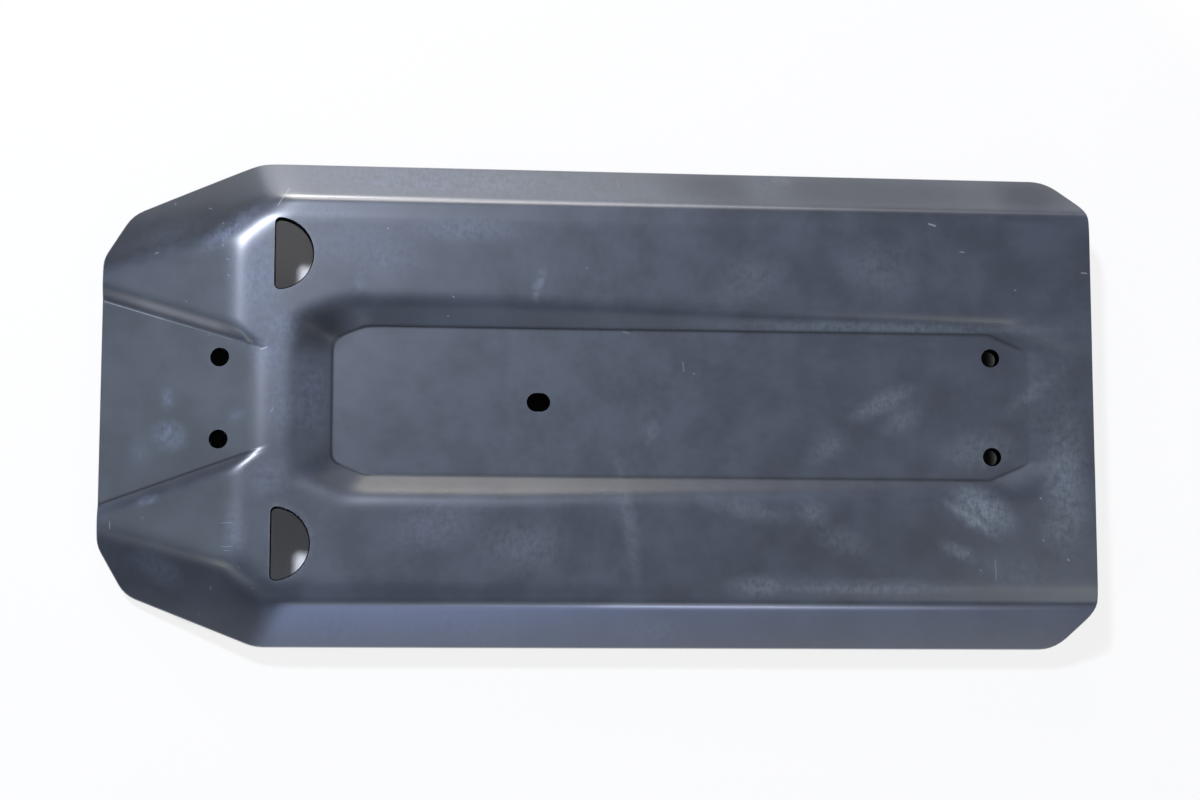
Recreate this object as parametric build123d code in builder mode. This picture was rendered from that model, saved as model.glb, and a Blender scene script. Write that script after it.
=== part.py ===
from build123d import *
import os
from math import atan, cos, degrees, radians, sin, tan

# Skid plate for a motorbike: one sheet of thick black plastic, heated and pressed, then trimmed and drilled.
# Millimetres. +X points to the rear of the plate and -X to its nose. The ground-facing side is up, as the plate
# lies on a bench on its own rims, so +Z comes out of the flat base. The plate is symmetric about the XZ plane.
# Distances named "back" are measured rearwards from the nose edge, and those named "in" forwards from the rear edge.
# All heights and bends belong to the outer face.

# Sheet, the radius of its soft outward bends, and how far it is formed past the outline before it is trimmed
sheet = 6.0
bend_radius = 13.0
form_margin = 1.0

# Outline, seen from above
length = 420.0
half_width = 102.2
nose_half_width = 60.5
wing_corner_back = 11.2
wing_corner_half = 80.6
shoulder_back = 65.4
rear_cut_length = 14.2
rear_cut_width = 16.3
nose_corner_radius = 12.0
wing_corner_radius = 14.0
shoulder_corner_radius = 20.0
rear_corner_radius = 14.0

# Flat base, side flanges and front wings
base_height = 34.5
flange_bend_half = 84.5
flange_slope = 45.0
wing_bend_back = 78.4
wing_bend_angle = 34.0
wing_slope = 38.7

# Nose facets, and the channel pressed in between them: its floor is a panel that slopes as the facets do
nose_slope = 17.5
facet_bend_back = 56.8
channel_depth = 2.86
channel_half_width = 21.2
facet_nose_width = 15.2
channel_wall_bend = 32.5
channel_rim_radius = 8.0
channel_crease_radius = 3.0

# Long recess in the base: its floor, with the corners cut off, and its walls
recess_depth = 5.5
recess_wall_slope = 45.0
recess_front_back = 96.3
recess_rear_in = 28.5
recess_half_width = 31.2
recess_front_cut = 13.6
recess_front_half = 25.6
recess_rear_cut = 16.5
recess_rear_half = 24.0
recess_corner_radius = 4.0
recess_crease_radius = 2.0

# Bolt holes, and the slot on the centre line
bolt_hole_diameter = 7.0
front_hole_back = 49.8
front_hole_spacing = 34.2
rear_hole_in = 44.2
rear_hole_spacing = 42.4
slot_back = 182.4
slot_length = 9.0

# D-shaped drain holes, flat side to the nose
drain_flat_back = 72.2
drain_centre_half = 60.4
drain_height = 29.8
drain_width = 15.5
drain_corner_radius = 2.0

front = -length / 2
rear = length / 2
panel_bend_back = facet_bend_back + channel_depth / sin(radians(nose_slope))
base_plane = Plane.XY.offset(base_height)

# Where the wing bends reach the nose edge, and how far the channel's creases turn out to leave the facets their width
nose_drop = facet_bend_back * tan(radians(nose_slope))
wing_reach = nose_drop / tan(radians(wing_slope)) - wing_bend_back * sin(radians(wing_bend_angle))
wing_nose_half = flange_bend_half + wing_reach / cos(radians(wing_bend_angle))
channel_nose_half = wing_nose_half - facet_nose_width
channel_spread = degrees(atan((channel_nose_half - channel_half_width) / panel_bend_back))

# Two places closer than this are one place
tolerance = 0.001


def both_sides(points):
    """A closed ring: the given points on the +Y side, then their mirror images."""
    return points + [(x, -y) for x, y in reversed(points)]


def sloped_plane(x, y, heading, slope):
    """Plane that meets the base at (x, y) and falls away along a horizontal heading, by slope degrees."""
    normal = Vector(*heading, 0).normalized() * sin(radians(slope)) + Vector(0, 0, cos(radians(slope)))
    return Plane(origin=(x, y, base_height), z_dir=normal)


def flange_plane(side):
    return sloped_plane(0, side * flange_bend_half, (0, side), flange_slope)


def wing_plane(side):
    turn = radians(wing_bend_angle)
    return sloped_plane(front + wing_bend_back, side * flange_bend_half, (-sin(turn), side * cos(turn)), wing_slope)


def nose_plane(bend_back):
    return sloped_plane(front + bend_back, 0, (-1, 0), nose_slope)


def channel_wall_plane(side):
    """The wall rises from the crease that runs forwards and outwards over the panel."""
    crease = Vector(-1, side * tan(radians(channel_spread)), -tan(radians(nose_slope)))
    normal = nose_plane(panel_bend_back).z_dir.rotate(Axis((0, 0, 0), crease), -side * channel_wall_bend)
    return Plane(origin=(front + panel_bend_back, side * channel_half_width, base_height), z_dir=normal)


def planes_through(edge, planes):
    """Those of the planes that hold the whole edge."""
    places = [edge @ share for share in (0, 0.5, 1)]
    return [plane for plane in planes if all(abs(plane.to_local_coords(place).Z) < tolerance for place in places)]


def shared_edges(part, *planes):
    """Edges of the part that lie in all of the planes."""
    return [edge for edge in part.edges() if len(planes_through(edge, planes)) == len(planes)]


def formed_block(inset):
    """The solid under the surface that lies inset below the plate's outer face, not yet trimmed."""
    half_floor = [
        (front + recess_front_back, recess_front_half),
        (front + recess_front_back + recess_front_cut, recess_half_width),
        (rear - recess_rear_in - recess_rear_cut, recess_half_width),
        (rear - recess_rear_in, recess_rear_half),
    ]
    base = base_plane.offset(-inset)
    floor = base.offset(-recess_depth)
    facet = nose_plane(facet_bend_back).offset(-inset)
    panel = nose_plane(panel_bend_back).offset(-inset)
    flanges = [flange_plane(side).offset(-inset) for side in (1, -1)]
    wings = [wing_plane(side).offset(-inset) for side in (1, -1)]
    channel_walls = [channel_wall_plane(side).offset(-inset) for side in (1, -1)]
    outward_radius = bend_radius - inset

    # What the channel takes away lies over its panel and over both of its walls
    with BuildPart() as channel:
        with BuildSketch(base):
            Rectangle(2 * length, 4 * half_width)
        extrude(amount=base_height, both=True)
        for plane in [panel] + channel_walls:
            split(bisect_by=plane, keep=Keep.TOP)

    with BuildPart() as recess:
        with BuildSketch(floor):
            with BuildLine():
                Polyline(both_sides(half_floor), close=True)
            make_face()
            fillet(vertices(), radius=recess_corner_radius)
            offset(amount=inset * tan(radians(recess_wall_slope / 2)))
        extrude(amount=recess_depth, taper=recess_wall_slope - 90)

    # The base, cut down to the flanges, wings and nose facets, with the recess and the channel taken away
    with BuildPart() as block:
        with BuildSketch(base):
            Rectangle(length + 2 * form_margin, 2 * half_width + 2 * form_margin)
        extrude(amount=-2 * base_height)
        for plane in flanges + wings + [facet]:
            split(bisect_by=plane, keep=Keep.BOTTOM)

        add(recess.part, mode=Mode.SUBTRACT)
        fillet(edges(Select.LAST).group_by(Axis.Z)[-1], radius=outward_radius)
        floor_edges = edges().filter_by_position(Axis.Z, floor.origin.Z, floor.origin.Z)
        fillet(floor_edges, radius=recess_crease_radius + inset)

        bends = shared_edges(block.part, base, facet)
        for flange, wing in zip(flanges, wings):
            bends += shared_edges(block.part, base, flange) + shared_edges(block.part, flange, wing)
            bends += shared_edges(block.part, base, wing) + shared_edges(block.part, facet, wing)
        fillet(bends, radius=outward_radius)

        # The channel's rim lies in one of its three planes, and its creases in two
        add(channel.part, mode=Mode.SUBTRACT)
        rim = [edge for edge in edges(Select.LAST)
               if len(planes_through(edge, [panel] + channel_walls)) == 1 and (edge @ 0.5).X > front]
        fillet(rim, radius=channel_rim_radius - inset)
        creases = [edge for wall in channel_walls for edge in shared_edges(block.part, panel, wall)]
        fillet(creases, radius=channel_crease_radius + inset)
    return block


outer_form = formed_block(0)
inner_form = formed_block(sheet)

# Corners of the outline on the +Y side from the nose to the rear, and how round each one is
half_outline = [
    (front, nose_half_width),
    (front + wing_corner_back, wing_corner_half),
    (front + shoulder_back, half_width),
    (rear - rear_cut_length, half_width),
    (rear, half_width - rear_cut_width),
]
half_outline_radii = [
    nose_corner_radius,
    wing_corner_radius,
    shoulder_corner_radius,
    rear_corner_radius,
    rear_corner_radius,
]

# The trimmed sheet: what lies between the two forms, cut off square to the bench along the outline
with BuildPart() as skid_plate:
    with BuildSketch(Plane.XY):
        with BuildLine():
            Polyline(both_sides(half_outline), close=True)
        make_face()
        for place, radius in enumerate(half_outline_radii, start=-len(half_outline_radii)):
            fillet(vertices().group_by(Axis.X)[place], radius=radius)
    extrude(amount=base_height)
    add(outer_form.part, mode=Mode.INTERSECT)
    add(inner_form.part, mode=Mode.SUBTRACT)

    # Bolt holes
    with BuildSketch(Plane.XY):
        with Locations((front + front_hole_back, 0)):
            with GridLocations(0, front_hole_spacing, 1, 2):
                Circle(bolt_hole_diameter / 2)
        with Locations((rear - rear_hole_in, 0)):
            with GridLocations(0, rear_hole_spacing, 1, 2):
                Circle(bolt_hole_diameter / 2)
        with Locations((front + slot_back, 0)):
            SlotOverall(slot_length, bolt_hole_diameter)
    extrude(amount=base_height, mode=Mode.SUBTRACT)

    # Drain holes
    with BuildSketch(Plane.XY):
        for side in (1, -1):
            with Locations((front + drain_flat_back + drain_width - drain_height / 2, side * drain_centre_half)):
                Circle(drain_height / 2)
        with Locations((front + drain_flat_back, 0)):
            Rectangle(drain_height, 2 * half_width, align=(Align.MAX, Align.CENTER), mode=Mode.SUBTRACT)
        fillet(vertices(), radius=drain_corner_radius)
    extrude(amount=base_height, mode=Mode.SUBTRACT)

skid_plate.part.label = "skid_plate"

os.makedirs("parts", exist_ok=True)
export_step(skid_plate.part, "parts/skid_plate.step")
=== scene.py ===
from math import ceil, cos, degrees, hypot, pi, radians, sin, tan

import bpy
import numpy as np
from mathutils import Matrix, Vector
from mathutils.geometry import delaunay_2d_cdt


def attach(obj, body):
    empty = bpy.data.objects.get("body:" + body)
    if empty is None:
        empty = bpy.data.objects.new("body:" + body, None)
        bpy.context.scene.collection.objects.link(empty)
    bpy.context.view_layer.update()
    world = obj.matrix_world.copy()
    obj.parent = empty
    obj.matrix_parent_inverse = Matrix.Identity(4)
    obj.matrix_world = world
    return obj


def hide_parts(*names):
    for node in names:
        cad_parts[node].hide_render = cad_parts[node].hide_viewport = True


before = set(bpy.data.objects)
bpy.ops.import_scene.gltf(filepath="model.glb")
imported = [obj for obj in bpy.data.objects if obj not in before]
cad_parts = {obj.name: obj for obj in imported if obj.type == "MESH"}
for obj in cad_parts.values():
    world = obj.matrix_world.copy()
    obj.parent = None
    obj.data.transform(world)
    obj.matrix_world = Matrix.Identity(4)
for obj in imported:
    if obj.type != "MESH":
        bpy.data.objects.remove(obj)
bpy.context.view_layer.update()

# Skid plate seen on a white bench. Sizes of the plate are in millimetres. The outline, the base, the nose and the
# holes have the solid's own sizes. The wings, the shoulders, the recess's walls and floor and the radii of the bends
# were fitted to the photograph afterwards, and differ from the solid's.
# +X points to the rear of the plate, +Z comes out of its ground-facing side, and what is named BACK is measured
# rearwards from the nose edge.
MM = 0.001

# Sheet and outline
SHEET = 6.0
LENGTH = 420.0
HALF_WIDTH = 102.2
NOSE_HALF_WIDTH = 60.5
WING_CORNER_BACK, WING_CORNER_HALF = 11.2, 80.6
SHOULDER_BACK = 65.4
REAR_CUT_LENGTH, REAR_CUT_WIDTH = 14.2, 16.3
CORNER_RADII = (12.0, 14.0, 20.0, 14.0, 14.0)
FRONT = -LENGTH / 2
REAR = LENGTH / 2

# Base, flanges and wings. A gentle shoulder leads into each flange, and a steeper plane cuts each wing's tip.
BASE_HEIGHT = 34.5
FLANGE_BEND_HALF = 84.5
FLANGE_SLOPE = 45.0
WING_BEND_BACK = 73.4
WING_BEND_ANGLE = 41.0
WING_SLOPE = 35.2
WING_TIP_ANGLE, WING_TIP_SLOPE, WING_TIP_RADIUS = 29.6, 44.4, 130.0
SHOULDER_WIDTH, SHOULDER_SLOPE = 7.8, 7.5
SHOULDER_RADIUS, FLANGE_RADIUS, WING_RADIUS = 34.0, 6.5, 27.0
FACET_WING_RADIUS = 24.0

# How far each flange bulges between its bend and its edge
FLANGE_BULGE = {1: 0.0, -1: 0.35}

# The sheet's unevenness: its mean, and its waves with their radians for each millimetre along x and y and their start
SAG = 0.05
WAVES = ((0.021, 0.013, 0.4), (-0.012, 0.034, 2.1), (0.047, 0.022, 4.0))

# Nose facets and channel
NOSE_SLOPE = 17.5
FACET_BEND_BACK = 56.8
FACET_RADIUS = 30.0
CHANNEL_DEPTH = 2.86
CHANNEL_HALF_WIDTH = 21.2
CHANNEL_SPREAD = 18.5
CHANNEL_WALL_BEND = 32.5
CHANNEL_RIM_RADIUS = 12.0
CHANNEL_CREASE_RADIUS = 1.6
PANEL_BEND_BACK = FACET_BEND_BACK + CHANNEL_DEPTH / sin(radians(NOSE_SLOPE))

# The drop in which the facet's bend becomes its ridge with the wing, and the height over the panel in which the panel's
# bend becomes the channel's rim
RIDGE_FADE, RIM_FADE = 8.0, 1.5

# Recess. Its walls come in the order front, front corner, side, rear corner and rear, and so do the blends between
# them. Its floor rises from x = RECESS_RISE_FROM to the rear wall, and goes on rising a little under that wall.
RECESS_DEPTH, RECESS_REAR_DEPTH = 5.5, 2.4
RECESS_SLOPES = (21.5, 25.0, 29.0, 17.0, 6.5)
RECESS_CORNER_BLENDS = (3.4, 1.6, 0.6, 0.5)
RECESS_RISE_FROM, RECESS_RISE_LIMIT = -40.0, 1.1
RECESS_FRONT_BACK, RECESS_REAR_BACK = 96.3, 391.5
RECESS_HALF_WIDTH = 31.2
RECESS_FRONT_CUT, RECESS_FRONT_HALF = 13.6, 25.6
RECESS_REAR_CUT, RECESS_REAR_HALF = 16.5, 24.0
RECESS_CORNER_RADIUS = 4.0
RECESS_RIM_RADIUS = 16.0
RECESS_CREASE_RADIUS = 1.3

# Holes
BOLT_HOLE_RADIUS = 3.5
FRONT_HOLE_BACK, FRONT_HOLE_SPACING = 49.8, 34.2
REAR_HOLE_BACK, REAR_HOLE_SPACING = 375.8, 42.4
SLOT_BACK, SLOT_LENGTH = 182.4, 9.0
DRAIN_FLAT_BACK, DRAIN_CENTRE_HALF = 72.2, 60.4
DRAIN_HEIGHT, DRAIN_WIDTH, DRAIN_CORNER_RADIUS = 29.8, 15.5, 2.0

# Which of the rings of all_rings() are drain holes
DRAIN_RINGS = (3, 6)

# Rubbed and dusty places, and patches of painted sheen: centre, reach along and across, turn in degrees, strength
DUST_AND_PAINTED_SHEEN = (
    (-181.8, 0.2, 2.4, 4.2, 0, 0.5), (-180.5, -15.2, 6.8, 5.6, -20, 0.6), (-152.9, -7.7, 4.0, 2.0, 25, 0.3),
    (-192.5, -21.3, 4.5, 6.0, 0, 0.2), (161.5, -43.8, 13.5, 7.0, -30, 0.85), (156.0, -48.0, 13.0, 2.6, -33, 1.0),
    (150.0, -61.5, 8.5, 2.8, -24, 0.65), (-28.0, 49.4, 1.6, 7.0, -18, 0.75), (-102.8, 50.5, 1.6, 6.8, -8, 0.4),
    (77.9, 99.0, 6.0, 2.5, 0, 0.5), (70.0, 94.1, 14.0, 5.0, 0, 0.35), (-35.5, -60.3, 18.0, 10.0, 0, 0.3),
    (65.0, -77.0, 13.0, 4.5, 0, 0.55), (110.0, -77.5, 40.0, 2.6, 0, 0.5), (-188.7, -42.1, 4.2, 1.9, 18, 0.6),
    (196.7, -30.9, 9.0, 32.0, 0, 0.55), (118.0, 33.6, 70.0, 2.4, 0, 0.55), (118.0, 1.0, 14.0, 4.0, 28, 0.5),
    (160.0, -19.0, 16.0, 8.0, 10, 0.35), (60.0, -45.0, 18.0, 4.0, -10, 0.3), (176.0, -70.0, 22.0, 7.0, 0, 0.2),
    (-106.0, 66.0, 26.0, 10.0, 0, 0.25), (-150.0, 52.0, 4.0, 16.0, 0, 0.35), (-153.0, -56.0, 4.0, 12.0, 0, 0.35),
    (20.0, -12.0, 3.0, 5.0, 0, 0.3), (95.0, -18.0, 10.0, 5.0, 30, 0.25), (190.0, -2.0, 13.0, 30.0, 0, 0.15),
    (196.0, -50.0, 12.0, 8.0, 38, 0.5), (186.0, 8.0, 16.0, 4.0, 38, 0.4), (-136.0, 30.0, 9.0, 8.0, 20, 0.5),
    (-140.0, 18.0, 7.0, 9.0, 0, 0.5), (-136.0, -2.0, 5.0, 16.0, 0, 0.3), (-140.0, -33.0, 8.0, 9.0, -30, 0.35),
    (-92.0, 60.0, 14.0, 9.0, 0, 0.3), (-60.0, 72.0, 22.0, 5.0, 0, 0.45), (-120.0, 78.0, 16.0, 4.0, 0, 0.35),
    (60.0, 52.0, 14.0, 10.0, 20, 0.2), (118.0, 58.0, 16.0, 12.0, 0, 0.2), (-70.0, -52.0, 20.0, 10.0, 15, 0.3),
    (10.0, -52.0, 3.0, 26.0, 8, 0.3), (88.0, -46.0, 7.0, 5.0, -20, 0.4), (100.0, -58.0, 12.0, 6.0, -20, 0.35),
    (128.0, -6.0, 9.0, 5.0, 35, 0.35), (20.0, 90.0, 60.0, 7.0, 0, 0.2), (-185.0, 68.0, 14.0, 6.0, 22, 0.3),
    (-186.0, -70.0, 12.0, 5.0, -24, 0.3), (-60.0, -94.0, 26.0, 5.0, 0, 0.25), (-112.0, -94.0, 12.0, 6.0, 0, 0.35),
    (20.0, -95.0, 14.0, 5.0, 0, 0.3), (-146.0, 50.0, 10.0, 24.0, 0, 0.6), (-122.0, 0.0, 8.0, 20.0, 0, 0.3),
    (-157.0, 71.0, 13.0, 4.5, 38, 0.7), (-70.0, 95.0, 70.0, 10.0, 0, 0.45),
)

# Patches of painted shade: centre, reach along and across, turn in degrees, strength
PAINTED_SHADE_PATCHES = (
    (112.0, 94.0, 84.0, 12.0, 0, 0.55), (-118.0, 31.0, 13.0, 10.0, 30, 0.95), (190.0, 0.0, 14.0, 26.0, 0, 0.45),
    (50.0, 94.0, 28.0, 12.0, 0, 0.6), (186.0, 94.0, 20.0, 12.0, 0, 0.75), (-90.0, -16.0, 22.0, 12.0, 0, 0.25),
    (-150.0, -34.0, 60.0, 22.0, 0, 0.28), (-70.0, -56.0, 60.0, 20.0, 0, 0.24), (90.0, -60.0, 70.0, 14.0, 0, 0.28),
    (60.0, 0.0, 90.0, 26.0, 0, 0.08),
)

# How much darker the wings are than the rest, how far under the base that starts, and the drop that it takes
WING_SHADE = {1: 0.7, -1: 0.45}
WING_SHADE_START, WING_SHADE_FADE = 1.5, 2.0

# Half width of the painted shade in a crease, how far it takes to start in the channel, and its fading behind the
# recess
CREASE_SHADE_REACH = 0.7
CHANNEL_CREASE_SHADE_START = 6.0
REAR_CREASE_SHADE = ((FRONT + RECESS_REAR_BACK - 4, FRONT + RECESS_REAR_BACK - 0.5), (1, 0.3))

# Places along x, and how strongly the bend of each flange is polished and carries a painted highlight there
UPPER_POLISH_AND_HIGHLIGHT = ((-137, -131, 0, 45, 110, 210), (0, 1, 1, 0.8, 0.5, 0.35))
LOWER_POLISH_AND_HIGHLIGHT = ((-137, -131, -10, 5, 70, 90, 150, 210), (0, 0.5, 0.6, 1, 1, 0.8, 0.5, 0.2))
LOWER_POLISH_AND_HIGHLIGHT_SHIFT = 0.7
POLISH_AND_HIGHLIGHT_REACH = 1.4

# The polished rim of the channel's upper wall, which also carries a painted reflection: places along it, their share,
# and its strength, middle and reach
RIM_POLISH_AND_REFLECTION = ((4, 20, 50, 68), (0, 1, 1, 0.6))
RIM_POLISH_AND_REFLECTION_STRENGTH, RIM_POLISH_AND_REFLECTION_MIDDLE, RIM_POLISH_AND_REFLECTION_REACH = 0.6, 2.6, 2.0

# How far a patch's edge lies from its middle, in its own reaches
PATCH_EDGE = 1.35

# Scratches, nicks and specks, and a painted highlight along the channel's upper crease: two ends, half width, strength
MARKS_AND_CREASE_HIGHLIGHT = (
    (-132.4, 89.2, -137.2, 80.7, 0.28, 1.0), (-204.4, -50.9, -204.4, -53.7, 0.22, 1.0),
    (139.5, 78.6, 142.1, 77.8, 0.5, 1.0), (152.8, 66.7, 154.6, 66.5, 0.35, 0.8), (206.0, 58.6, 208.3, 58.4, 0.4, 0.9),
    (165.6, -65.1, 165.9, -73.6, 0.35, 0.4), (197.2, -64.7, 197.6, -65.1, 0.45, 0.9),
    (186.5, -56.5, 186.9, -56.9, 0.35, 0.8), (185.6, -38.7, 186.0, -38.9, 0.45, 0.9),
    (159.0, -69.4, 159.4, -69.6, 0.35, 0.7), (-91.6, 71.9, -91.2, 71.7, 0.4, 0.8), (-7.9, 56.6, -7.5, 56.4, 0.4, 0.4),
    (176.4, 50.6, 176.9, 50.4, 0.4, 0.7), (-143.0, 20.2, -140.9, 20.8, 0.55, 1.0),
    (-149.4, 24.4, -147.9, 23.2, 0.4, 0.5), (-138.8, -6.0, -138.0, -4.8, 0.3, 0.5),
    (-187.9, 61.4, -186.6, 61.7, 0.45, 0.6), (-159.8, 63.9, -159.4, 63.4, 0.4, 0.7),
    (-157.9, 57.9, -157.2, 57.5, 0.35, 0.6), (-157.3, 51.1, -156.7, 50.7, 0.35, 0.6),
    (-174.6, 40.6, -174.2, 40.3, 0.3, 0.6), (-164.9, 26.6, -164.6, 26.3, 0.3, 0.5),
    (-180.9, 84.9, -180.5, 84.2, 0.35, 0.6), (-166.0, 81.2, -165.2, 81.0, 0.35, 0.6),
    (-159.8, 73.6, -159.5, 73.3, 0.35, 0.6), (-162.4, -77.7, -162.3, -79.1, 0.35, 0.4),
    (-150.9, -69.7, -150.7, -70.4, 0.3, 0.4), (-167.5, -88.6, -167.3, -88.9, 0.3, 0.5),
    (-145.1, -78.5, -144.9, -78.8, 0.3, 0.5), (-190.9, -49.1, -190.6, -49.6, 0.3, 0.5),
    (-158.2, -52.1, -154.1, -51.9, 0.28, 0.45), (-157.6, -61.8, -153.9, -61.7, 0.28, 0.45),
    (-156.8, -63.4, -154.7, -63.3, 0.28, 0.4), (6.6, 97.2, 7.0, 93.8, 0.3, 0.3),
    # The marks from (-208.6, 41.9) to (-155.0, 24.2) run along the channel's upper crease: a painted highlight there
    (-208.6, 41.9, -184.0, 33.7, 0.32, 0.85), (-184.0, 33.7, -172.0, 29.8, 0.25, 0.5),
    (-172.0, 29.8, -155.0, 24.2, 0.22, 0.3), (38.0, 13.0, 38.6, 12.8, 0.4, 0.5), (33.5, 17.5, 33.8, 14.0, 0.6, 0.3),
    (-66.0, 35.6, -65.6, 35.4, 0.35, 0.8), (-64.0, 43.5, -63.6, 43.3, 0.4, 0.7), (8.0, 30.4, 10.5, 29.9, 0.4, 0.45),
)

# How fine the mesh is, and how round its cut edges are
GRID_STEP = 2.3
GRID_LINE_STEP = GRID_STEP * 0.866
ROW_STEP = 2.0
OUTLINE_STEP = 2.0
ARC_STEP_DEGREES = 10.0
MARK_STEP = 0.8
EDGE_RADIUS = 0.45
HOLE_PARTS, SLOT_END_PARTS, DRAIN_ARC_PARTS, DRAIN_CORNER_PARTS = 28, 14, 26, 6
SAME_PLACE, TRIANGULATION_TOLERANCE = 0.05, 1e-4

# How far rows of mesh points lie from the creases and bends, in the order in which they are laid
RECESS_ROWS = (0, -0.45, 0.45, -0.9, 0.9, -1.5, 1.5, 2.3, 3.3, 4.4, 5.6, 7.0, 8.5, 10.2, 12.0, 14.0, 16.0, 18.0)
CHANNEL_ROWS = (0, -0.45, 0.45, -0.9, 0.9, -1.5, 1.5, 2.3, 3.2, 4.2, 5.3, 6.5, 8.0, 9.6, 11.4)
BEND_ROWS = (0, -0.8, 0.8, -1.7, 1.7, -2.8, 2.8, -4.2, 4.2, -5.6, 5.6, -7.2, 7.2, -9.0, 9.0)
FACET_ROWS = (0, -1.4, 1.4, -2.8, 2.8, -4.4, 4.4)
RECESS_ARC_STEP = 12
CHANNEL_ROW_LEAD = 6.0
SLOPE_ROW_LENGTH = LENGTH / 4

# Room that mesh points keep free round them. In a crease's own rows, up to TIGHT_REACH from it, it is TIGHT_ROOM.
TIGHT_REACH, TIGHT_ROOM = 2.0, 0.38
RECESS_ROOM, CHANNEL_ROOM, FLANGE_ROOM, SLOPE_ROOM, MARK_ROOM = 0.9, 0.8, 0.6, 1.1, 0.12
GRID_ROOM = 0.72 * GRID_STEP
MARK_MARGIN, ROW_MARGIN, GRID_MARGIN = 0.8, 1.0, 1.2

# How pale the cut edges are, how pale the face is beside the drain holes, and each edge row's share, from the top down
DRAIN_BURR, HOLE_BURR, OUTLINE_BURR, FACE_BURR = 1.0, 0.35, 0.15, 0.12
ROW_BURR = (1, 1, 0.6, 0, 0, 0)


def plane_at(x, y, heading, slope, drop=0.0):
    """A plane through (x, y), drop below the base, that falls away along heading: its point and its unit normal."""
    run = hypot(*heading)
    normal = Vector((heading[0] / run * sin(slope), heading[1] / run * sin(slope), cos(slope)))
    return Vector((x, y, BASE_HEIGHT - drop)), normal


def height_on(plane, x, y, depth):
    """Height of the plane, lowered into the sheet by depth."""
    point, normal = plane
    return point.z - (normal.x * (x - point.x) + normal.y * (y - point.y) + depth) / normal.z


def blend_width(first, second, radius):
    """How wide soft_min has to blend two planes to leave as much off their corner as an arc of that radius."""
    half_turn = first[1].angle(second[1]) / 2
    tilt = (first[1] + second[1]).angle(Vector((0, 0, 1)))
    return 6 * radius * (1 / cos(half_turn) - 1) / cos(tilt)


def soft_min(a, b, width):
    """The lower of two heights, with a smooth change from one to the other."""
    closeness = np.clip(1 - np.abs(a - b) / width, 0, None)
    return np.minimum(a, b) - closeness ** 3 * width / 6


def soft_max(a, b, width):
    return -soft_min(-a, -b, width)


BASE = plane_at(0, 0, (1, 0), 0)
FACET = plane_at(FRONT + FACET_BEND_BACK, 0, (-1, 0), radians(NOSE_SLOPE))
PANEL = plane_at(FRONT + PANEL_BEND_BACK, 0, (-1, 0), radians(NOSE_SLOPE))


def shoulder(side):
    """The base leans over a little before the flange's own bend."""
    return plane_at(0, side * (FLANGE_BEND_HALF - SHOULDER_WIDTH), (0, side), radians(SHOULDER_SLOPE))


def flange(side):
    drop = SHOULDER_WIDTH * tan(radians(SHOULDER_SLOPE))
    return plane_at(0, side * FLANGE_BEND_HALF, (0, side), radians(FLANGE_SLOPE), drop)


def wing(side, bend_angle=WING_BEND_ANGLE, slope=WING_SLOPE):
    """The wing's plane at its root."""
    turn = radians(bend_angle)
    return plane_at(FRONT + WING_BEND_BACK, side * FLANGE_BEND_HALF, (-sin(turn), side * cos(turn)), radians(slope))


def wing_tip(side):
    return wing(side, WING_TIP_ANGLE, WING_TIP_SLOPE)


def crease_direction(side):
    """Where the crease under the channel's wall runs, from the base to the nose."""
    return Vector((-1, side * tan(radians(CHANNEL_SPREAD)), -tan(radians(NOSE_SLOPE)))).normalized()


def channel_wall(side):
    """The channel's panel, turned up about its crease."""
    turn = Matrix.Rotation(-side * radians(CHANNEL_WALL_BEND), 3, crease_direction(side))
    return Vector((FRONT + PANEL_BEND_BACK, side * CHANNEL_HALF_WIDTH, BASE_HEIGHT)), turn @ PANEL[1]


def both_sides(points):
    """A closed ring: the given points on the +Y side, then their mirror images."""
    return points + [(x, -y) for x, y in reversed(points)]


FLOOR_CORNERS = both_sides([
    (FRONT + RECESS_FRONT_BACK, RECESS_FRONT_HALF),
    (FRONT + RECESS_FRONT_BACK + RECESS_FRONT_CUT, RECESS_HALF_WIDTH),
    (FRONT + RECESS_REAR_BACK - RECESS_REAR_CUT, RECESS_HALF_WIDTH),
    (FRONT + RECESS_REAR_BACK, RECESS_REAR_HALF),
])
OUTLINE_CORNERS = both_sides([
    (FRONT, NOSE_HALF_WIDTH),
    (FRONT + WING_CORNER_BACK, WING_CORNER_HALF),
    (FRONT + SHOULDER_BACK, HALF_WIDTH),
    (REAR - REAR_CUT_LENGTH, HALF_WIDTH),
    (REAR, HALF_WIDTH - REAR_CUT_WIDTH),
])
OUTLINE_RADII = CORNER_RADII + CORNER_RADII[::-1]


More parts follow.
